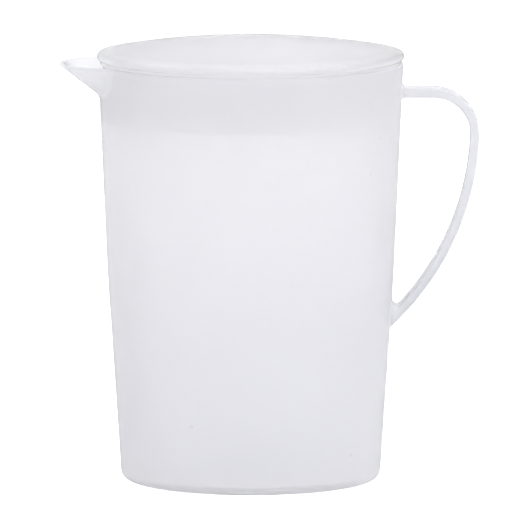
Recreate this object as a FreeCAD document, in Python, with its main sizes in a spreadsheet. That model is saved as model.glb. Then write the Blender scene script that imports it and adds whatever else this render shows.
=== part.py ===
import FreeCAD, Part
import math
import os
import Sketcher

# A pitcher with a plug-in lid, both moulded in frosted polypropylene.
# Millimetres, +Z up. The origin is the middle of the ring that the jug stands on, on the axis of its wall.
# The spout points along -X and the handle along +X, and the pitcher is the same on its -Y and +Y sides.

# Every size that can be set by itself.
DRIVING_SIZES = [
    # The wall of the jug: a steeper cone on a leaning one, with a gentle bend where they meet.
    ("height", 184.6),
    ("rim_radius", 67.2),
    ("base_radius", 57.1),
    ("bend_level", 90.0),
    ("bend_bulge", 1.0),
    ("bend_radius", 700.0),
    ("wall", 1.8),
    ("rim_round", 0.6),
    # The bottom, raised inside a ring to stand on, with the mark of the moulding gate in its middle.
    ("floor_thickness", 2.2),
    ("base_corner", 4.2),
    ("inner_corner", 3.2),
    ("ring_width", 4.5),
    ("ring_height", 1.2),
    ("ring_slant", 1.4),
    ("gate_radius", 2.2),
    ("gate_height", 0.5),
    # The spout: a round lip whose keel runs down to the wall at an angle.
    ("spout_reach", 18.0),
    ("spout_radius", 29.0),
    ("spout_angle", 37.5),
    ("spout_foot_radius", 45.0),
    ("spout_root", 8.0),
    ("spout_blend", 5.0),
    # The handle: one flat strap, level at the top, then one tight turn and one long sweep back to the wall.
    ("strap_width", 16.0),
    ("strap_thickness", 3.8),
    ("strap_round", 0.9),
    ("handle_drop", 12.9),
    ("finger_gap", 29.6),
    ("handle_turn", 18.4),
    ("handle_sweep", 119.2),
    ("handle_span", 105.2),
    ("handle_blend", 2.4),
    # The lid: a dome whose rounded edge overhangs the rim, on a deep skirt that plugs the jug.
    ("lid_overhang", 0.5),
    ("lid_gap", 1.2),
    ("lid_wall", 1.8),
    ("lid_edge_round", 1.8),
    ("crown_rise", 10.7),
    ("skirt_depth", 24.7),
    ("skirt_wall", 1.5),
    ("skirt_clearance", 0.35),
    ("notch_radius", 58.0),
    ("notch_rise", 18.0),
]

# What follows from those sizes.
WORKED_OUT = [
    # The two cones of the wall and the arc between them. The inside is the same line moved in by the wall.
    ("straight_slope", "(sizes.rim_radius - sizes.base_radius) / sizes.height"),
    ("lower_slope", "straight_slope + sizes.bend_bulge / sizes.bend_level"),
    ("upper_slope", "straight_slope - sizes.bend_bulge / (sizes.height - sizes.bend_level)"),
    ("bend_across", "sizes.base_radius + lower_slope * sizes.bend_level"),
    ("bend_reach", "sizes.bend_radius * tan((atan(lower_slope) - atan(upper_slope)) / 2)"),
    ("bend_depth", "bend_reach^2 / (2 * sizes.bend_radius)"),
    ("bend_foot_across", "bend_across - bend_reach * sin(atan(lower_slope))"),
    ("bend_foot_up", "sizes.bend_level - bend_reach * cos(atan(lower_slope))"),
    ("bend_top_across", "bend_across + bend_reach * sin(atan(upper_slope))"),
    ("bend_top_up", "sizes.bend_level + bend_reach * cos(atan(upper_slope))"),
    ("inner_foot_across", "bend_foot_across - sizes.wall"),
    ("inner_top_across", "bend_top_across - sizes.wall"),
    ("inner_rim", "sizes.rim_radius - sizes.wall"),
    ("floor_top", "sizes.ring_height + sizes.floor_thickness"),
    ("floor_radius", "sizes.base_radius + lower_slope * floor_top - sizes.wall"),
    ("ring_inside", "sizes.base_radius - sizes.base_corner - sizes.ring_width"),
    ("recess_radius", "ring_inside - sizes.ring_slant"),
    ("gate_bottom", "sizes.ring_height - sizes.gate_height"),
    # The spout's outer and inner outlines, at the rim and at its root behind the wall.
    ("lip_tip", "-(sizes.rim_radius + sizes.spout_reach)"),
    ("lip_side", "lip_tip + sizes.spout_radius"),
    ("root_tip", "-(sizes.rim_radius - sizes.spout_root)"),
    ("root_side", "root_tip + sizes.spout_foot_radius / 3"),
    ("root_level", "sizes.height - (root_tip - lip_tip) * tan(sizes.spout_angle * 1deg)"),
    ("keel_wall", "sizes.wall / sin(sizes.spout_angle * 1deg)"),
    ("channel_tip", "lip_tip + keel_wall"),
    ("channel_radius", "sizes.spout_radius - sizes.wall"),
    ("channel_side", "channel_tip + channel_radius"),
    ("channel_root_tip", "root_tip + keel_wall"),
    ("channel_foot_radius", "sizes.spout_foot_radius - sizes.wall"),
    ("channel_root_side", "channel_root_tip + channel_foot_radius / 3"),
    ("inner_blend", "sizes.spout_blend + sizes.wall"),
    # The middle line of the strap, and its section.
    ("handle_level", "sizes.height - sizes.handle_drop"),
    ("turn_across", "sizes.rim_radius + sizes.finger_gap + sizes.strap_thickness / 2 - sizes.handle_turn"),
    ("turn_level", "handle_level - sizes.handle_turn"),
    ("handle_foot", "handle_level - sizes.handle_span"),
    ("handle_end", "sizes.base_radius"),
    ("strap_half", "sizes.strap_width / 2"),
    ("strap_top", "handle_level + sizes.strap_thickness / 2"),
    ("strap_bottom", "handle_level - sizes.strap_thickness / 2"),
    # The lid sits on the middle of the rim, and its skirt follows the wall at its clearance.
    ("flange_radius", "sizes.rim_radius + sizes.lid_overhang"),
    ("flange_bottom", "sizes.height + sizes.lid_gap"),
    ("seat_radius", "sizes.rim_radius - sizes.wall / 2"),
    ("nose_across", "flange_radius - sizes.lid_edge_round"),
    ("neck_across", "seat_radius - nose_across"),
    ("neck_top", "flange_bottom + sizes.lid_edge_round - sqrt(sizes.lid_edge_round^2 - neck_across^2)"),
    ("crown", "sizes.height + sizes.crown_rise"),
    ("nose_drop", "crown - flange_bottom - sizes.lid_edge_round"),
    # The dome's arc is the one that starts level at the crown and runs smoothly into the round of the edge.
    ("dome_radius", "(nose_across^2 + nose_drop^2 - sizes.lid_edge_round^2)"
                    " / (2 * (nose_drop - sizes.lid_edge_round))"),
    ("dome_growth", "dome_radius / (dome_radius - sizes.lid_edge_round)"),
    ("dome_edge_across", "nose_across * dome_growth"),
    ("dome_edge_up", "crown - dome_radius + (dome_radius - nose_drop) * dome_growth"),
    ("skirt_bottom", "sizes.height - sizes.skirt_depth"),
    ("skirt_top_radius", "inner_rim - sizes.skirt_clearance"),
    ("skirt_foot_radius", "skirt_top_radius - sizes.skirt_depth * upper_slope"),
    ("skirt_inside_top", "skirt_top_radius - sizes.skirt_wall"),
    ("skirt_inside_foot", "skirt_foot_radius - sizes.skirt_wall"),
    ("under_crown", "crown - sizes.lid_wall"),
    ("under_radius", "dome_radius - sizes.lid_wall"),
    ("under_edge", "under_crown - under_radius + sqrt(under_radius^2 - skirt_inside_top^2)"),
    ("notch_centre", "skirt_bottom + sizes.notch_rise - sizes.notch_radius"),
]

doc = FreeCAD.newDocument("pitcher")


def make_sheet(title, rows, before=""):
    """Make a sheet with a name and a value in each row, and the name as the alias of the value."""
    sheet = doc.addObject("Spreadsheet::Sheet", title)
    for row, (name, content) in enumerate(rows, 1):
        sheet.set(f"A{row}", name)
        sheet.set(f"B{row}", before + str(content))
        sheet.setAlias(f"B{row}", name)
    doc.recompute()
    return sheet


sizes_sheet = make_sheet("sizes", DRIVING_SIZES)
places_sheet = make_sheet("places", WORKED_OUT, before="=")
driving_names = {name for name, content in DRIVING_SIZES}


def value(name):
    """The number of a named size, or zero for None."""
    if name is None:
        return 0.0
    return float(getattr(sizes_sheet if name in driving_names else places_sheet, name))


def formula(name):
    """The expression that binds a property to a named size."""
    return ("sizes." if name in driving_names else "places.") + name


# Sketches

def add_sketch(body, name, plane, level=None):
    """Add a sketch on one of the body's own origin planes, raised from it by a named size."""
    sketch = body.newObject("Sketcher::SketchObject", name)
    support = [item for item in body.Origin.OriginFeatures if item.Role == plane][0]
    sketch.AttachmentSupport = [(support, "")]
    sketch.MapMode = "FlatFace"
    if level:
        sketch.setExpression(".AttachmentOffset.Base.z", formula(level))
    return sketch


def tie(sketch, *constraint):
    """Add a constraint that has no size."""
    sketch.addConstraint(Sketcher.Constraint(*constraint))


def measure(sketch, label, name, kind, *geometry):
    """Add a dimension to a sketch and bind it to a named size."""
    number = sketch.addConstraint(Sketcher.Constraint(kind, *geometry, value(name)))
    sketch.renameConstraint(number, label)
    sketch.setExpression("Constraints." + label, formula(name))


def pin(sketch, label, piece, end, across, up):
    """Hold a point of a sketch at two named places, or on an axis where the name is None."""
    level_axis, upright_axis = -1, -2
    for name, kind, axis in ((across, "DistanceX", upright_axis), (up, "DistanceY", level_axis)):
        if name is None:
            tie(sketch, "PointOnObject", piece, end, axis)
        else:
            measure(sketch, label + kind[-1], name, kind, piece, end)


def arc_middle(start, end, radius, side):
    """The middle of an arc that bulges to the right (+1) or to the left (-1) of the way from start to end."""
    chord = end - start
    rise = radius - math.sqrt(radius ** 2 - (chord.Length / 2) ** 2)
    sideways = FreeCAD.Vector(chord.y, -chord.x, 0).normalize()
    return (start + end) / 2 + sideways * side * rise


def draw_outline(sketch, steps):
    """Draw a closed outline, given each corner and the way on from it.

    The way on is None for a straight line, or the name of an arc's radius and the side it bulges to.
    """
    corners = [FreeCAD.Vector(value(across), value(up), 0) for across, up, way in steps]
    drawn = []
    for start, end, (across, up, way) in zip(corners, corners[1:] + corners[:1], steps):
        if way is None:
            drawn.append((sketch.addGeometry(Part.LineSegment(start, end)), 1, 2))
            continue
        middle = arc_middle(start, end, value(way[0]), way[1])
        # A sketch keeps every arc anticlockwise, so one that bulges to the left is drawn from its end.
        if way[1] > 0:
            drawn.append((sketch.addGeometry(Part.Arc(start, middle, end)), 1, 2))
        else:
            drawn.append((sketch.addGeometry(Part.Arc(end, middle, start)), 2, 1))
    for (piece, first, last), (following, joined, after) in zip(drawn, drawn[1:] + drawn[:1]):
        tie(sketch, "Coincident", piece, last, following, joined)
    for number, ((across, up, way), (piece, first, last)) in enumerate(zip(steps, drawn), 1):
        pin(sketch, f"corner{number}", piece, first, across, up)
        if way is not None:
            measure(sketch, f"arc{number}", way[0], "Radius", piece)


def draw_spout_outline(body, name, level, tip, side, radius):
    """A level outline of the spout, with a round front and a straight back inside the jug."""
    sketch = add_sketch(body, name, "XY_Plane", level)
    front = FreeCAD.Vector(value(tip), 0, 0)
    centre = value(tip) + value(radius)
    half = math.sqrt(value(radius) ** 2 - (centre - value(side)) ** 2)
    left, right = FreeCAD.Vector(value(side), half, 0), FreeCAD.Vector(value(side), -half, 0)
    arc = sketch.addGeometry(Part.Arc(left, front, right))
    back = sketch.addGeometry(Part.LineSegment(right, left))
    nose = sketch.addGeometry(Part.Point(front), True)
    tie(sketch, "Coincident", arc, 2, back, 1)
    tie(sketch, "Coincident", back, 2, arc, 1)
    tie(sketch, "PointOnObject", arc, 3, -1)
    tie(sketch, "PointOnObject", nose, 1, arc)
    tie(sketch, "Vertical", back)
    pin(sketch, "nose", nose, 1, tip, None)
    measure(sketch, "back", side, "DistanceX", back, 1)
    measure(sketch, "front", radius, "Radius", arc)
    return sketch


def draw_handle_path(body):
    """The middle line of the strap: level, then the tight turn, then the long sweep that ends in the wall."""
    sketch = add_sketch(body, "handle_path", "XZ_Plane")
    start = FreeCAD.Vector(0, value("handle_level"), 0)
    turn_centre = FreeCAD.Vector(value("turn_across"), value("turn_level"), 0)
    end = FreeCAD.Vector(value("handle_end"), value("handle_foot"), 0)
    small, large = value("handle_turn"), value("handle_sweep")
    # The sweep takes over from the turn in one direction and passes through the end, which gives its centre.
    span = end - turn_centre
    along = ((large - small) ** 2 - large ** 2 + span.Length ** 2) / (2 * span.Length)
    aside = math.sqrt((large - small) ** 2 - along ** 2)
    way = FreeCAD.Vector(span).normalize()
    centre = turn_centre + way * along + FreeCAD.Vector(way.y, -way.x, 0) * aside
    leave = math.atan2(turn_centre.y - centre.y, turn_centre.x - centre.x)
    arrive = math.atan2(end.y - centre.y, end.x - centre.x)
    normal = FreeCAD.Vector(0, 0, 1)
    level = sketch.addGeometry(Part.LineSegment(start, turn_centre + FreeCAD.Vector(0, small, 0)))
    tight = sketch.addGeometry(Part.ArcOfCircle(Part.Circle(turn_centre, normal, small), leave, math.pi / 2))
    sweep = sketch.addGeometry(Part.ArcOfCircle(Part.Circle(centre, normal, large), arrive, leave))
    tie(sketch, "PointOnObject", level, 1, -2)
    tie(sketch, "Horizontal", level)
    tie(sketch, "Tangent", level, 2, tight, 2)
    tie(sketch, "Tangent", tight, 1, sweep, 2)
    pin(sketch, "turn", tight, 3, "turn_across", "turn_level")
    pin(sketch, "end", sweep, 1, "handle_end", "handle_foot")
    measure(sketch, "tight", "handle_turn", "Radius", tight)
    measure(sketch, "sweep", "handle_sweep", "Radius", sweep)
    return sketch


def draw_strap_section(body):
    """The flat section of the strap, across the start of its path."""
    sketch = add_sketch(body, "strap_section", "YZ_Plane")
    half, top, bottom = value("strap_half"), value("strap_top"), value("strap_bottom")
    corners = [FreeCAD.Vector(*place) for place in ((-half, bottom), (half, bottom), (half, top), (-half, top))]
    for start, end in zip(corners, corners[1:] + corners[:1]):
        sketch.addGeometry(Part.LineSegment(start, end))
    for side in range(4):
        tie(sketch, "Coincident", side, 2, (side + 1) % 4, 1)
    tie(sketch, "Vertical", 1)
    tie(sketch, "Horizontal", 2)
    tie(sketch, "Vertical", 3)
    tie(sketch, "Symmetric", 0, 1, 0, 2, -2)
    pin(sketch, "lower", 1, 1, "strap_half", "strap_bottom")
    measure(sketch, "upper", "strap_top", "DistanceY", 1, 2)
    return sketch


# Features

def add_feature(body, kind, name, profile):
    feature = body.newObject("PartDesign::" + kind, name)
    feature.Profile = profile
    return feature


def turn(body, kind, name, profile):
    """Turn a profile once round the axis: a Revolution adds it and a Groove cuts it."""
    feature = add_feature(body, kind, name, profile)
    feature.ReferenceAxis = (profile, ["V_Axis"])
    feature.Angle = 360


def loft(body, kind, name, first, last):
    feature = add_feature(body, kind, name, first)
    feature.Sections = [last]
    feature.Ruled = True


def inside_points(edge):
    """Five points along an edge, short of its two ends."""
    first, last = edge.ParameterRange
    return [edge.valueAt(first + (last - first) * share / 6) for share in range(1, 6)]


def round_edges(body, name, radius, wanted):
    """Fillet the edges of the body so far whose points all pass the test."""
    doc.recompute()
    base = body.Tip
    picked = [f"Edge{number}" for number, edge in enumerate(base.Shape.Edges, 1)
              if all(wanted(point) for point in inside_points(edge))]
    if not picked:
        raise RuntimeError(f"{name} finds no edge to round")
    feature = body.newObject("PartDesign::Fillet", name)
    feature.Base = (base, picked)
    feature.setExpression("Radius", formula(radius))


# Tests for the points of the edges to round

def near(number, other, slack=0.02):
    return abs(number - other) < slack


def from_axis(point):
    return math.hypot(point.x, point.y)


def on_circle(across, up):
    """A test for the circle that a corner of a turned profile makes."""
    return lambda point: near(from_axis(point), value(across)) and near(point.z, value(up))


def on_wall(point, depth=0.0):
    """Whether a point lies on the outer face of the wall, or that deep inside it, and below the rim."""
    slope = value("lower_slope" if point.z < value("bend_level") else "upper_slope")
    outer = value("bend_across") + slope * (point.z - value("bend_level"))
    return near(from_axis(point), outer - depth, 0.02 + value("bend_depth")) and not near(point.z, value("height"))


def on_spout_side(point):
    return point.x < 0 and point.z > value("root_level")


def on_handle_side(point):
    return point.x > 0 and abs(point.y) < value("strap_width")


# The jug

def add_wall(body):
    profile = add_sketch(body, "outer_profile", "YZ_Plane")
    draw_outline(profile, [
        (None, None, None),
        ("base_radius", None, None),
        ("bend_foot_across", "bend_foot_up", ("bend_radius", 1)),
        ("bend_top_across", "bend_top_up", None),
        ("rim_radius", "height", None),
        (None, "height", None),
    ])
    turn(body, "Revolution", "outer_wall", profile)
    round_edges(body, "outer_corner", "base_corner", on_circle("base_radius", None))


def add_spout(body):
    lip = draw_spout_outline(body, "lip_outline", "height", "lip_tip", "lip_side", "spout_radius")
    root = draw_spout_outline(body, "root_outline", "root_level", "root_tip", "root_side", "spout_foot_radius")
    loft(body, "AdditiveLoft", "spout", lip, root)
    round_edges(body, "spout_seam", "spout_blend", lambda point: on_wall(point) and on_spout_side(point))


def add_handle(body):
    handle = add_feature(body, "AdditivePipe", "handle", draw_strap_section(body))
    handle.Spine = (draw_handle_path(body), ["Edge1", "Edge2", "Edge3"])
    handle.Mode = "Standard"
    round_edges(body, "strap_edges", "strap_round",
                lambda point: near(abs(point.y), value("strap_half")) and not on_wall(point))
    round_edges(body, "handle_roots", "handle_blend", lambda point: on_wall(point) and on_handle_side(point))


def hollow_out(body):
    """Cut the inside of the wall and the channel of the spout, which also trims the ends of the strap."""
    profile = add_sketch(body, "inner_profile", "YZ_Plane")
    draw_outline(profile, [
        (None, "floor_top", None),
        ("floor_radius", "floor_top", None),
        ("inner_foot_across", "bend_foot_up", ("bend_radius", 1)),
        ("inner_top_across", "bend_top_up", None),
        ("inner_rim", "height", None),
        (None, "height", None),
    ])
    turn(body, "Groove", "inside", profile)
    round_edges(body, "inside_corner", "inner_corner", on_circle("floor_radius", "floor_top"))
    mouth = draw_spout_outline(body, "mouth_outline", "height", "channel_tip", "channel_side", "channel_radius")
    foot = draw_spout_outline(body, "foot_outline", "root_level",
                              "channel_root_tip", "channel_root_side", "channel_foot_radius")
    loft(body, "SubtractiveLoft", "channel", mouth, foot)
    round_edges(body, "channel_seam", "inner_blend",
                lambda point: on_wall(point, value("wall")) and on_spout_side(point))


def raise_bottom(body):
    """Cut the underside back to a ring, and leave the gate mark standing in the middle."""
    profile = add_sketch(body, "recess_profile", "YZ_Plane")
    draw_outline(profile, [
        (None, None, None),
        ("ring_inside", None, None),
        ("recess_radius", "ring_height", None),
        ("gate_radius", "ring_height", None),
        ("gate_radius", "gate_bottom", None),
        (None, "gate_bottom", None),
    ])
    turn(body, "Groove", "recess", profile)


def make_jug():
    """The jug: one moulding of wall, spout and handle, open at the top."""
    body = doc.addObject("PartDesign::Body", "jug")
    add_wall(body)
    add_spout(body)
    add_handle(body)
    hollow_out(body)
    raise_bottom(body)
    round_edges(body, "rim_edges", "rim_round", lambda point: near(point.z, value("height")))
    return body


# The lid

def add_dome(body):
    """Turn the dome, its edge that overhangs the rim, and the skirt."""
    profile = add_sketch(body, "lid_profile", "YZ_Plane")
    draw_outline(profile, [
        (None, "under_crown", ("under_radius", -1)),
        ("skirt_inside_top", "under_edge", None),
        ("skirt_inside_foot", "skirt_bottom", None),
        ("skirt_foot_radius", "skirt_bottom", None),
        ("skirt_top_radius", "height", None),
        ("seat_radius", "height", None),
        ("seat_radius", "neck_top", ("lid_edge_round", 1)),
        ("dome_edge_across", "dome_edge_up", ("dome_radius", 1)),
        (None, "crown", None),
    ])
    turn(body, "Revolution", "dome", profile)


def cut_notch(body):
    """Cut an arch in the skirt on the handle's side: turned to the spout, it lets the drink out."""
    sketch = add_sketch(body, "notch_outline", "YZ_Plane")
    centre = FreeCAD.Vector(0, value("notch_centre"), 0)
    arch = sketch.addGeometry(Part.Circle(centre, FreeCAD.Vector(0, 0, 1), value("notch_radius")))
    pin(sketch, "centre", arch, 3, None, "notch_centre")
    measure(sketch, "arch", "notch_radius", "Radius", arch)
    notch = add_feature(body, "Pocket", "notch", sketch)
    notch.setExpression("Length", formula("flange_radius"))
    notch.Reversed = True


def make_lid():
    body = doc.addObject("PartDesign::Body", "lid")
    add_dome(body)
    cut_notch(body)
    return body


def check_and_write(bodies):
    """Stop if anything failed or a solid is bad, then write each piece to its own file."""
    doc.recompute()
    failed = [item.Name for item in doc.Objects if {"Invalid", "Error"} & set(item.State)]
    if failed:
        raise RuntimeError("these objects failed: " + ", ".join(failed))
    os.makedirs("parts", exist_ok=True)
    for body in bodies:
        shape = body.Shape
        if shape.isNull() or not shape.isValid() or len(shape.Solids) != 1:
            raise RuntimeError(f"{body.Label} is not one valid solid")
        shape.exportStep(f"parts/{body.Label}.step")
        print(f"{body.Label}: {shape.Volume / 1000:.1f} cubic centimetres")


check_and_write([make_jug(), make_lid()])
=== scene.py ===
import math

import bpy
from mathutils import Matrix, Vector


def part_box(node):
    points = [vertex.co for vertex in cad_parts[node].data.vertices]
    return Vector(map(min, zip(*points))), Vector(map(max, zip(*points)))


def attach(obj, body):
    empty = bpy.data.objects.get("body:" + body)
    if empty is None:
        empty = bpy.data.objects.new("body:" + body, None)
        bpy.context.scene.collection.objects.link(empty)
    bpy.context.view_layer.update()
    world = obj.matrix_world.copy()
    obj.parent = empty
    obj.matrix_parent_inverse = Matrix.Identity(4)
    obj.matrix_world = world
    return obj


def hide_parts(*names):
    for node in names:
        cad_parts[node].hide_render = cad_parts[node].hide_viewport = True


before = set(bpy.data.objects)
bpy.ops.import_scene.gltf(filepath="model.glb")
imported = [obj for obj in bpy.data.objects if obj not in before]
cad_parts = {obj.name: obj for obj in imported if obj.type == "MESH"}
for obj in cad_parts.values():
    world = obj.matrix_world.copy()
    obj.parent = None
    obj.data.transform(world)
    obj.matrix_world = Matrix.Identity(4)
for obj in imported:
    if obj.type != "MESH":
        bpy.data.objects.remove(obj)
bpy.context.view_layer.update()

# A pitcher and its plug-in lid in frosted white plastic. Metres, +Z up.
# The spout points along -X and the handle along +X.

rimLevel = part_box("jug")[1].z
lidLow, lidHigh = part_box("lid")
scene = bpy.context.scene
scene.view_settings.view_transform = "Standard"
print("frame loaded")


# Camera

camera = {
    "distance": 4.624,      # in front of the jug's axis
    "height": 0.687,
    "aim": (0.0063, 0.0, 0.0947),
    "lens": 717.4,
    "farClip": 50,
}


def placeFacing(item, place, aim):      # puts a camera or a lamp into the scene, turned to aim
    item.location = place
    item.rotation_euler = (Vector(aim) - Vector(place)).to_track_quat("-Z", "Y").to_euler()
    scene.collection.objects.link(item)


def makeCamera():
    lens = bpy.data.cameras.new("camera")
    lens.lens = camera["lens"]
    lens.clip_end = camera["farClip"]
    scene.camera = bpy.data.objects.new("camera", lens)
    place = (camera["aim"][0], -camera["distance"], camera["height"])
    placeFacing(scene.camera, place, camera["aim"])


makeCamera()
print("camera placed")


# Small helpers for node trees

def addNode(tree, kind, settings=(), values=()):     # settings are properties, and values fill the inputs
    node = tree.nodes.new(kind)
    for name, setting in dict(settings).items():
        setattr(node, name, setting)
    for name, content in dict(values).items():
        feed(tree, node.inputs[name], content)
    return node


def feed(tree, socket, content):
    if isinstance(content, bpy.types.NodeSocket):
        tree.links.new(content, socket)
    else:
        socket.default_value = content


def addSockets(tree, direction, kinds):
    for name, kind in kinds.items():
        tree.interface.new_socket(name, in_out=direction, socket_type="NodeSocket" + kind)


def calculate(tree, operation, *numbers, clamp=False):
    settings = {"operation": operation, "use_clamp": clamp}
    return addNode(tree, "ShaderNodeMath", settings, enumerate(numbers)).outputs[0]


def product(tree, first, *others):
    for other in others:
        first = calculate(tree, "MULTIPLY", first, other)
    return first


def smoothStep(tree, number, start, end):     # none at start, one at end
    span = {"Value": number, "From Min": start, "From Max": end}
    return addNode(tree, "ShaderNodeMapRange", {"interpolation_type": "SMOOTHSTEP"}, span).outputs[0]


def splitPlace(tree, place):
    return addNode(tree, "ShaderNodeSeparateXYZ", values={0: place}).outputs


def mixColors(tree, share, first, second):
    return addNode(tree, "ShaderNodeMix", {"data_type": "RGBA"}, {0: share, 6: first, 7: second}).outputs[2]


# Studio: white sky, pale floor and soft round lamps

studio = {
    "sky": 0.38,            # the light that the sky gives, while it shows as white
    "floorColor": 0.9,
    "floorGlow": 0.65,      # added for the camera, reflections and what shows through the plastic
    "floorReach": 8.0,
    "lampSize": 1.0,
    "lampAim": (0.0, 0.0, 0.1),
    "lamps": {              # place and watts
        "keyLamp": ((-0.9, -1.2, 1.5), 9.0),
        "leftLamp": ((-1.6, -0.7, 0.45), 5.6),
        "rightLamp": ((1.0, -0.4, 1.6), 16.5),
        "lowLamp": ((1.6, -0.5, 0.45), 2.5),
        "backLamp": ((0.0, 1.1, 1.9), 4.0),
    },
}


def seenMask(tree):     # one for what the camera, a reflection or the plastic sees, and none for other light
    path = addNode(tree, "ShaderNodeLightPath").outputs
    mirrored = calculate(tree, "MAXIMUM", path["Is Camera Ray"], path["Is Glossy Ray"])
    return calculate(tree, "MAXIMUM", mirrored, path["Is Transmission Ray"])


def emptyTree(owner):
    owner.use_nodes = True
    owner.node_tree.nodes.clear()
    return owner.node_tree


def makeSky():
    scene.world = bpy.data.worlds.new("studio")
    tree = emptyTree(scene.world)
    light = addNode(tree, "ShaderNodeBackground", values={"Color": (1, 1, 1, 1), "Strength": studio["sky"]})
    white = addNode(tree, "ShaderNodeBackground", values={"Color": (1, 1, 1, 1), "Strength": 1.0})
    shades = {0: seenMask(tree), 1: light.outputs[0], 2: white.outputs[0]}
    mixed = addNode(tree, "ShaderNodeMixShader", values=shades)
    addNode(tree, "ShaderNodeOutputWorld", values={"Surface": mixed.outputs[0]})


def makeFloor():
    reach = studio["floorReach"]
    corners = [(-reach, -reach, 0), (reach, -reach, 0), (reach, reach, 0), (-reach, reach, 0)]
    mesh = bpy.data.meshes.new("floor")
    mesh.from_pydata(corners, [], [(0, 1, 2, 3)])
    paper = bpy.data.materials.new("floorPaper")
    tree = emptyTree(paper)
    pale = addNode(tree, "ShaderNodeBsdfDiffuse", values={"Color": (*[studio["floorColor"]] * 3, 1)})
    strength = calculate(tree, "MULTIPLY", seenMask(tree), studio["floorGlow"])
    glow = addNode(tree, "ShaderNodeEmission", values={"Strength": strength})
    both = addNode(tree, "ShaderNodeAddShader", values={0: pale.outputs[0], 1: glow.outputs[0]})
    addNode(tree, "ShaderNodeOutputMaterial", values={"Surface": both.outputs[0]})
    mesh.materials.append(paper)
    floor = bpy.data.objects.new("floor", mesh)
    scene.collection.objects.link(floor)


def makeLamps():
    for name, (place, watts) in studio["lamps"].items():
        light = bpy.data.lights.new(name, "AREA")
        light.shape = "DISK"
        light.size = studio["lampSize"]
        light.energy = watts
        placeFacing(bpy.data.objects.new(name, light), place, studio["lampAim"])


makeSky()
makeFloor()
makeLamps()
print("studio lit")


# Frosted plastic, with soft clouds in it and a fine grain on its surface, and a darker tint mixed in where a
# part paints shade or has specks

plastic = {
    "cloudDetail": 2.0,
    "grainScale": 1900.0,
    "grainDetail": 3.0,
    "grainHeight": 0.00002,
    "roughness": 0.6,
    "roughnessSpread": 0.05,
    "refraction": 1.49,
}


def makeFrosting():
    group = bpy.data.node_groups.new("frosting", "ShaderNodeTree")
    addSockets(group, "INPUT", {
        "Place": "Vector",
        "Tint": "Color",
        "Shade And Speck Tint": "Color",
        "Depth": "Float",
        "Cloud Scale": "Float",
        "Cloud Share": "Float",
        "Grain Scale": "Float",
        "Roughness": "Float",
        "Roughness Spread": "Float",
    })
    addSockets(group, "OUTPUT", {"Color": "Color", "Roughness": "Float", "Grain": "Float"})
    given = addNode(group, "NodeGroupInput").outputs
    noise = {"Vector": given["Place"], "Scale": given["Cloud Scale"], "Detail": plastic["cloudDetail"]}
    cloud = addNode(group, "ShaderNodeTexNoise", values=noise).outputs["Fac"]
    noise = {"Vector": given["Place"], "Scale": given["Grain Scale"], "Detail": plastic["grainDetail"]}
    grain = addNode(group, "ShaderNodeTexNoise", values=noise).outputs["Fac"]
    cloud = calculate(group, "SUBTRACT", cloud, 0.5)     # about zero
    # the share of the darker tint: painted shade and specks from the part, and the clouds
    share = calculate(group, "ADD", given["Depth"], product(group, cloud, given["Cloud Share"]), clamp=True)
    spread = product(group, cloud, given["Roughness Spread"])
    addNode(group, "NodeGroupOutput", values={
        "Color": mixColors(group, share, given["Tint"], given["Shade And Speck Tint"]),
        "Roughness": calculate(group, "ADD", given["Roughness"], spread),
        "Grain": grain,
    })
    return group


frosting = makeFrosting()


# the part's function gives the share of the darker tint: painted shade, and on the jug its specks too
def makePlastic(name, finish, findShadeAndSpecks):
    material = bpy.data.materials.new(name)
    tree = emptyTree(material)
    place = addNode(tree, "ShaderNodeTexCoord").outputs["Object"]
    frosted = addNode(tree, "ShaderNodeGroup", {"node_tree": frosting}, {
        "Place": place,
        "Tint": (*finish["tint"], 1),
        "Shade And Speck Tint": (*finish["shadeAndSpeckTint"], 1),
        "Depth": findShadeAndSpecks(tree, place),
        "Cloud Scale": finish["cloudScale"],
        "Cloud Share": finish["cloudShare"],
        "Grain Scale": plastic["grainScale"],
        "Roughness": plastic["roughness"],
        "Roughness Spread": plastic["roughnessSpread"],
    }).outputs
    bump = addNode(tree, "ShaderNodeBump", values={
        "Strength": finish["grainStrength"],
        "Distance": plastic["grainHeight"],
        "Height": frosted["Grain"],
    })
    shader = addNode(tree, "ShaderNodeBsdfPrincipled", values={
        "Base Color": frosted["Color"],
        "Roughness": frosted["Roughness"],
        "Normal": bump.outputs[0],
        "IOR": plastic["refraction"],
        "Transmission Weight": finish["transmission"],
    })
    addNode(tree, "ShaderNodeOutputMaterial", values={"Surface": shader.outputs[0]})
    return material


# Jug: the moulding from the frame, with its own finish
# A share is how much of the shade and speck tint shows, and a reach is where that begins and where it is
# full. Every share but the specks' is painted shade.

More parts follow.
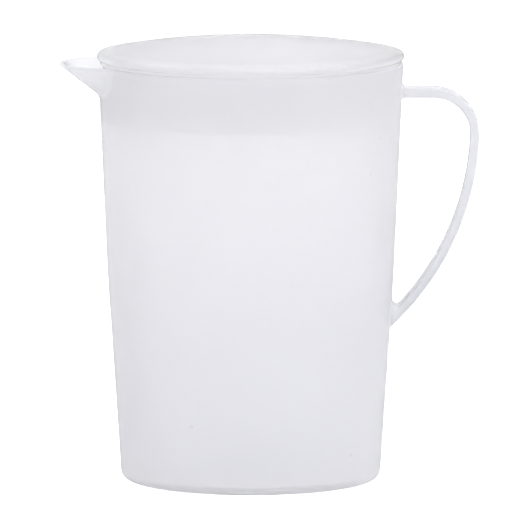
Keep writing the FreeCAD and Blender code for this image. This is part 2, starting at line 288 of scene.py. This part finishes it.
jug = {
    "baseRadius": 0.0571,             # outside, at the floor
    "wall": 0.0018,
    # painted shade: the handle's strap is darkened, more the further it stands out from the wall
    "strapShadeShare": 0.65,
    "strapReach": (0.0012, 0.0090),   # out from the wall
    # painted shade: the spout is darkened where it stands out from the wall
    "spoutShadeShare": 0.18,
    "spoutReach": (0.0018, 0.0036),   # out from the wall
    # painted shade along the top edge of the spout
    "lipShadeShare": 0.22,                 # along the edge of the spout
    "lipReach": (0.0016, 0.0008),     # down from the rim
    # painted shadow: the lid's skirt darkens the wall in front of it, on top of the shade that shows through
    # the plastic
    "skirtShadowShare": 0.06,               # on the wall that the lid's skirt backs
    "skirtReach": (0.0, 0.020),       # up from the skirt's foot
    # painted shadow: the skirt's band made deeper beside the root of the spout, where the wall lies in more
    # shade
    "rootShadowShare": 0.22,                # on the same wall, beside the root of the spout
    "rootReach": (-0.042, -0.062),    # along X
    "backedFrom": (-0.0004, 0.0004),  # up from the skirt's foot
    "backedUpTo": (0.0016, 0.0032),   # down from the rim, which keeps a pale line there
    # painted shade: the wall darker towards the bottom, fading out again at the foot's edge
    "lowShadeShare": 0.23,
    "lowReach": (0.145, 0.055),       # up from the floor
    "footEdge": (0.001, 0.010),       # up from the floor, which keeps a pale edge there
    "speckShare": 0.7,
    "speckReach": (2.0, 0.5),         # out from its middle, in times its size
    "specks": [                       # X, front (-1) or back (1), height and size
        (0.0563, -1, 0.1547, 0.0005),
        (0.0521, -1, 0.1394, 0.0007),
        (-0.0256, -1, 0.0302, 0.0006),
        (0.0440, -1, 0.0155, 0.0006),
        (-0.0310, 1, 0.1190, 0.0005),
        (0.0120, 1, 0.0640, 0.0006),
    ],
    "finish": {
        "tint": (0.962, 0.960, 0.982),
        "shadeAndSpeckTint": (0.792, 0.799, 0.835),
        "cloudScale": 14.0,
        "cloudShare": 0.06,
        "grainStrength": 0.2,
        "transmission": 0.7,
    },
}

# Lid: the sizes of its turned form

lid = {
    "overhang": 0.0005,      # past the rim of the jug
    "gap": 0.0012,           # from the rim up to the round of the edge
    "edgeRound": 0.0018,
    "wall": 0.0018,
    "skirtWall": 0.0015,
    "clearance": 0.00035,    # between the skirt and the jug's wall
    "taper": 0.0441,         # how much the skirt narrows, for each metre down
    "footRound": 0.0003,
    "notchRadius": 0.058,    # of the arch that lets the drink out
    "notchRise": 0.018,
    "steps": 288,            # round the axis
    "domeRows": 24,
    "edgeRows": 16,
    "skirtRows": 8,
    "footRows": 3,
    "weld": 0.000001,        # points nearer than this become one
    "sharpAngle": 30,        # in degrees: an edge that bends more stays sharp
    "domeShadeShare": 0.35,       # of the shade and speck tint: painted shade on the dome inside its edge, which stays paler as a painted highlight band
    "domeReach": (0.0635, 0.0595),
    "finish": {
        "tint": (0.985, 0.984, 0.992),
        "shadeAndSpeckTint": (0.800, 0.796, 0.835),
        "cloudScale": 16.0,
        "cloudShare": 0.05,
        "grainStrength": 0.15,
        "transmission": 0.92,
    },
}

rimRadius = lidHigh.x - lid["overhang"]
wallSlope = (rimRadius - jug["baseRadius"]) / rimLevel
skirtFoot = lidLow.z
notchCentre = skirtFoot + lid["notchRise"] - lid["notchRadius"]


def archLevel(tree, aside):     # the height of the arch in the skirt, that far from its middle
    square = calculate(tree, "SUBTRACT", lid["notchRadius"] ** 2, product(tree, aside, aside))
    rise = calculate(tree, "SQRT", calculate(tree, "MAXIMUM", square, 0.0))
    return calculate(tree, "ADD", rise, notchCentre)


def acrossFrom(tree, x, y):     # the distance from the axis
    flat = addNode(tree, "ShaderNodeCombineXYZ", values={"X": x, "Y": y}).outputs[0]
    return addNode(tree, "ShaderNodeVectorMath", {"operation": "LENGTH"}, {0: flat}).outputs["Value"]


def speckMask(tree, place):
    start, end = jug["speckReach"]
    mask = 0.0
    for x, side, up, size in jug["specks"]:
        y = side * math.sqrt((jug["baseRadius"] + wallSlope * up) ** 2 - x ** 2)
        away = addNode(tree, "ShaderNodeVectorMath", {"operation": "DISTANCE"}, {0: place, 1: (x, y, up)})
        spot = smoothStep(tree, away.outputs["Value"], start * size, end * size)
        mask = calculate(tree, "MAXIMUM", mask, spot)
    return mask


# the share of darker tint on the jug: painted shade on the strap, spout, lip, skirt band and lower wall, and
# real specks
def jugShadeAndSpecks(tree, place):
    x, y, z = splitPlace(tree, place)
    belowRim = calculate(tree, "SUBTRACT", rimLevel, z)
    wallRadius = calculate(tree, "MULTIPLY_ADD", z, wallSlope, jug["baseRadius"])
    proud = calculate(tree, "SUBTRACT", acrossFrom(tree, x, y), wallRadius)
    handleSide = calculate(tree, "GREATER_THAN", x, 0.0)
    spoutSide = calculate(tree, "SUBTRACT", 1.0, handleSide)
    strap = product(tree, handleSide, smoothStep(tree, proud, *jug["strapReach"]))
    spout = product(tree, spoutSide, smoothStep(tree, proud, *jug["spoutReach"]))
    onWall = calculate(tree, "SUBTRACT", calculate(tree, "SUBTRACT", 1.0, strap), spout)
    foot = calculate(tree, "MAXIMUM", product(tree, handleSide, archLevel(tree, y)), skirtFoot)
    overFoot = calculate(tree, "SUBTRACT", z, foot)
    backedFrom = smoothStep(tree, overFoot, *jug["backedFrom"])
    backed = product(tree, onWall, backedFrom, smoothStep(tree, belowRim, *jug["backedUpTo"]))
    footEdge = smoothStep(tree, z, *jug["footEdge"])
    masks = {
        "strapShadeShare": strap,
        "spoutShadeShare": spout,
        "lipShadeShare": product(tree, spout, smoothStep(tree, belowRim, *jug["lipReach"])),
        "skirtShadowShare": product(tree, backed, smoothStep(tree, overFoot, *jug["skirtReach"])),
        "rootShadowShare": product(tree, backed, smoothStep(tree, x, *jug["rootReach"])),
        "lowShadeShare": product(tree, footEdge, smoothStep(tree, z, *jug["lowReach"])),
        "speckShare": speckMask(tree, place),
    }
    depth = 0.0
    for share, mask in masks.items():
        depth = calculate(tree, "MULTIPLY_ADD", mask, jug[share], depth)
    return depth


# painted shade on the lid's dome above the rim, which leaves its edge paler as a painted highlight band
def lidPaintedShade(tree, place):
    x, y, z = splitPlace(tree, place)
    onDome = smoothStep(tree, acrossFrom(tree, x, y), *lid["domeReach"])
    aboveRim = calculate(tree, "GREATER_THAN", z, rimLevel)
    return product(tree, onDome, aboveRim, lid["domeShadeShare"])


def dressJug():
    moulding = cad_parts["jug"].data
    moulding.materials.clear()
    moulding.materials.append(makePlastic("jugPlastic", jug["finish"], jugShadeAndSpecks))


dressJug()
print("jug dressed")


# The lid's outline runs from the axis under the dome, down and up the skirt, round the edge and back over
# the dome to the axis.

def arcPoints(centre, radius, start, end, rows):
    angles = [start + (end - start) * row / rows for row in range(rows + 1)]
    return [(centre[0] + radius * math.cos(angle), centre[1] + radius * math.sin(angle)) for angle in angles]


def linePoints(start, end, rows):       # without its two ends
    return [(start[0] + (end[0] - start[0]) * row / rows, start[1] + (end[1] - start[1]) * row / rows)
            for row in range(1, rows)]


def lidOutline():
    crown = lidHigh.z
    edge = lid["edgeRound"]
    nose = (lidHigh.x - edge, rimLevel + lid["gap"] + edge)
    seat = rimRadius - jug["wall"] / 2
    drop = crown - nose[1]
    domeRadius = (nose[0] ** 2 + drop ** 2 - edge ** 2) / (2 * (drop - edge))
    centre = (0.0, crown - domeRadius)
    lean = math.atan2(nose[1] - centre[1], nose[0])
    outer = rimRadius - jug["wall"] - lid["clearance"]
    inner = outer - lid["skirtWall"]
    narrowing = lid["taper"] * (rimLevel - skirtFoot)
    corner = lid["footRound"]
    underRadius = domeRadius - lid["wall"]
    under = arcPoints(centre, underRadius, math.pi / 2, math.acos(inner / underRadius), lid["domeRows"])
    innerFoot = arcPoints((inner - narrowing + corner, skirtFoot + corner), corner,
                          math.pi, math.pi * 1.5, lid["footRows"])
    outerFoot = arcPoints((outer - narrowing - corner, skirtFoot + corner), corner,
                          -math.pi / 2, 0.0, lid["footRows"])
    bead = arcPoints(nose, edge, -math.acos((seat - nose[0]) / edge), lean, lid["edgeRows"])
    dome = arcPoints(centre, domeRadius, lean, math.pi / 2, lid["domeRows"])
    top = (outer, rimLevel)
    down = linePoints(under[-1], innerFoot[0], lid["skirtRows"])
    up = linePoints(outerFoot[-1], top, lid["skirtRows"])
    return under + down + innerFoot + outerFoot + up + [top, (seat, rimLevel)] + bead + dome[1:]


# The arch lifts the skirt's foot on the handle's side, and what is above it less and less, up to the seat.

def archRise(tree, given, up, aside, ahead):
    depth = calculate(tree, "SUBTRACT", given["Seat Level"], given["Foot Level"])
    below = calculate(tree, "SUBTRACT", given["Seat Level"], up)
    lift = calculate(tree, "SUBTRACT", archLevel(tree, aside), given["Foot Level"])
    lift = calculate(tree, "MAXIMUM", lift, 0.0)
    handleSide = calculate(tree, "GREATER_THAN", ahead, 0.0)
    return product(tree, lift, handleSide, calculate(tree, "DIVIDE", below, depth, clamp=True))


def reshape(tree, kind, shape, values=(), settings=()):
    return addNode(tree, kind, settings, {"Geometry": shape, **dict(values)}).outputs[0]


def makeTurningTree():
    tree = bpy.data.node_groups.new("turnedLid", "GeometryNodeTree")
    tree.is_modifier = True
    addSockets(tree, "INPUT", {
        "Outline": "Geometry",
        "Steps": "Int",
        "Seat Level": "Float",
        "Foot Level": "Float",
        "Taper": "Float",
        "Weld": "Float",
        "Sharp Angle": "Float",
        "Plastic": "Material",
    })
    addSockets(tree, "OUTPUT", {"Lid": "Geometry"})
    given = addNode(tree, "NodeGroupInput").outputs
    place = addNode(tree, "GeometryNodeInputPosition").outputs[0]
    # A unit grid about the origin has a column for each step round the axis and a row for each point of the
    # outline. Each of its points goes to the outline's point of that row, turned by its column's angle.
    rows = addNode(tree, "GeometryNodeAttributeDomainSize", values={"Geometry": given["Outline"]}).outputs[0]
    grid = addNode(tree, "GeometryNodeMeshGrid", values={
        "Size X": 1.0,
        "Size Y": 1.0,
        "Vertices X": calculate(tree, "ADD", given["Steps"], 1),
        "Vertices Y": rows,
    })
    gridPlace = splitPlace(tree, place)
    share = calculate(tree, "ADD", gridPlace["Y"], 0.5)
    row = calculate(tree, "ROUND", product(tree, share, calculate(tree, "SUBTRACT", rows, 1)))
    point = addNode(tree, "GeometryNodeSampleIndex", {"data_type": "FLOAT_VECTOR"},
                    {"Geometry": given["Outline"], "Value": place, "Index": row})
    profile = splitPlace(tree, point.outputs[0])
    across, up = profile["X"], profile["Z"]
    angle = product(tree, gridPlace["X"], math.tau)
    sine = calculate(tree, "SINE", angle)
    cosine = calculate(tree, "COSINE", angle)
    rise = archRise(tree, given, up, product(tree, across, sine), cosine)
    wider = calculate(tree, "MULTIPLY_ADD", rise, given["Taper"], across)
    turned = addNode(tree, "ShaderNodeCombineXYZ", values={
        "X": product(tree, wider, cosine),
        "Y": product(tree, wider, sine),
        "Z": calculate(tree, "ADD", up, rise),
    })
    shape = reshape(tree, "GeometryNodeSetPosition", grid.outputs[0], {"Position": turned.outputs[0]})
    shape = reshape(tree, "GeometryNodeMergeByDistance", shape, {"Distance": given["Weld"]})
    shape = reshape(tree, "GeometryNodeSetShadeSmooth", shape)
    bend = addNode(tree, "GeometryNodeInputMeshEdgeAngle").outputs[0]
    sharp = {"Selection": calculate(tree, "GREATER_THAN", bend, given["Sharp Angle"]), "Shade Smooth": False}
    shape = reshape(tree, "GeometryNodeSetShadeSmooth", shape, sharp, {"domain": "EDGE"})
    shape = reshape(tree, "GeometryNodeRealizeInstances", shape)
    shape = reshape(tree, "GeometryNodeSetMaterial", shape, {"Material": given["Plastic"]})
    addNode(tree, "NodeGroupOutput", values={"Lid": shape})
    return tree


def makeLid():
    outline = [(across, 0.0, up) for across, up in lidOutline()]
    mesh = bpy.data.meshes.new("lidOutline")
    mesh.from_pydata(outline, [(row, row + 1) for row in range(len(outline) - 1)], [])
    piece = bpy.data.objects.new("pluggedLid", mesh)
    scene.collection.objects.link(piece)
    turning = piece.modifiers.new("turning", "NODES")
    turning.node_group = makeTurningTree()
    chosen = {
        "Steps": lid["steps"],
        "Seat Level": rimLevel,
        "Foot Level": skirtFoot,
        "Taper": lid["taper"],
        "Weld": lid["weld"],
        "Sharp Angle": math.radians(lid["sharpAngle"]),
        "Plastic": makePlastic("lidPlastic", lid["finish"], lidPaintedShade),
    }
    for item in turning.node_group.interface.items_tree:
        if item.name in chosen:
            turning[item.identifier] = chosen[item.name]
    shown = piece.evaluated_get(bpy.context.evaluated_depsgraph_get())
    piece.data = bpy.data.meshes.new_from_object(shown)
    piece.modifiers.clear()
    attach(piece, "root")
    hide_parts("lid")


makeLid()
print("lid turned")
